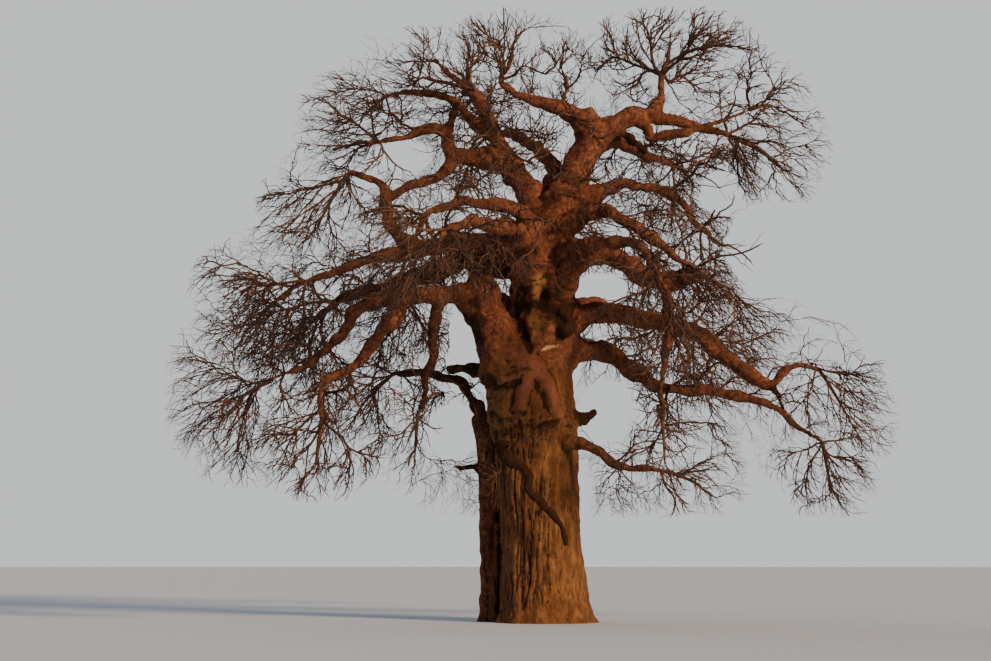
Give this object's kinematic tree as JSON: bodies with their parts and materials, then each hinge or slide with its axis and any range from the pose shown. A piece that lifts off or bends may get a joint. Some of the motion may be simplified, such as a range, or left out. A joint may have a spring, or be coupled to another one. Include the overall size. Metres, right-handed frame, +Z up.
{
  "type": "baobab tree",
  "caption": "Leafless baobab with a swollen trunk that forks low, sagging crooked boughs and wide sprays of bare twigs, cut flat at ground level.",
  "frame": {"origin": "middle of the flat cut under the trunk, at ground level", "axes": "+Z up, +X to the right of the picture, +Y away from its camera"},
  "size_m": [20.4917, 17.7847, 18.1947],
  "materials": {
    "trunk_bark": "matt, pleated and pitted tan-brown bark with smooth reddish folds",
    "bough_bark": "matt, smooth reddish-brown bark, wrinkled at the forks",
    "twig_bark": "matt dark brown bark"
  },
  "bodies": {
    "root": {"trunk": "trunk_bark", "back_stem": "trunk_bark", "left_stem": "trunk_bark", "main_stem": "trunk_bark", "bough_left_main": "bough_bark", "bough_left_fall": "bough_bark", "bough_left_outer": "bough_bark", "bough_left_hanger": "bough_bark", "bough_left_long": "bough_bark", "bough_left_riser": "bough_bark", "bough_left_back": "bough_bark", "bough_left_front": "bough_bark", "bough_left_under": "bough_bark", "leader_left": "bough_bark", "bough_left_crook": "bough_bark", "bough_high_left": "bough_bark", "bough_top_left": "bough_bark", "bough_top_right": "bough_bark", "bough_top_riser": "bough_bark", "bough_right_high": "bough_bark", "bough_right_arch": "bough_bark", "bough_right_elbow": "bough_bark", "bough_right_knot": "bough_bark", "bough_right_hanger": "bough_bark", "bough_right_long": "bough_bark", "bough_right_tip": "bough_bark", "bough_right_low": "bough_bark", "bough_right_bottom": "bough_bark", "bough_front_hanger": "bough_bark", "bough_front_left": "bough_bark", "bough_back_left": "bough_bark", "bough_back_right": "bough_bark", "bough_back_low_right": "bough_bark", "bough_back_low_left": "bough_bark", "twigs_top_left": "twig_bark", "twigs_leader_left": "twig_bark", "twigs_high_left": "twig_bark", "twigs_left_crook": "twig_bark", "twigs_left_riser": "twig_bark", "twigs_left_front": "twig_bark", "twigs_left_long": "twig_bark", "twigs_left_outer": "twig_bark", "twigs_left_fall": "twig_bark", "twigs_left_back": "twig_bark", "twigs_left_hanger": "twig_bark", "twigs_left_under": "twig_bark", "twigs_front_left": "twig_bark", "twigs_top_right": "twig_bark", "twigs_top_riser": "twig_bark", "twigs_right_high": "twig_bark", "twigs_right_arch": "twig_bark", "twigs_right_elbow": "twig_bark", "twigs_right_hanger": "twig_bark", "twigs_right_tip": "twig_bark", "twigs_right_low": "twig_bark", "twigs_right_bottom": "twig_bark", "twigs_back_left": "twig_bark", "twigs_back_right": "twig_bark", "twigs_back_low_right": "twig_bark", "twigs_back_low_left": "twig_bark"}
  },
  "joints": []
}
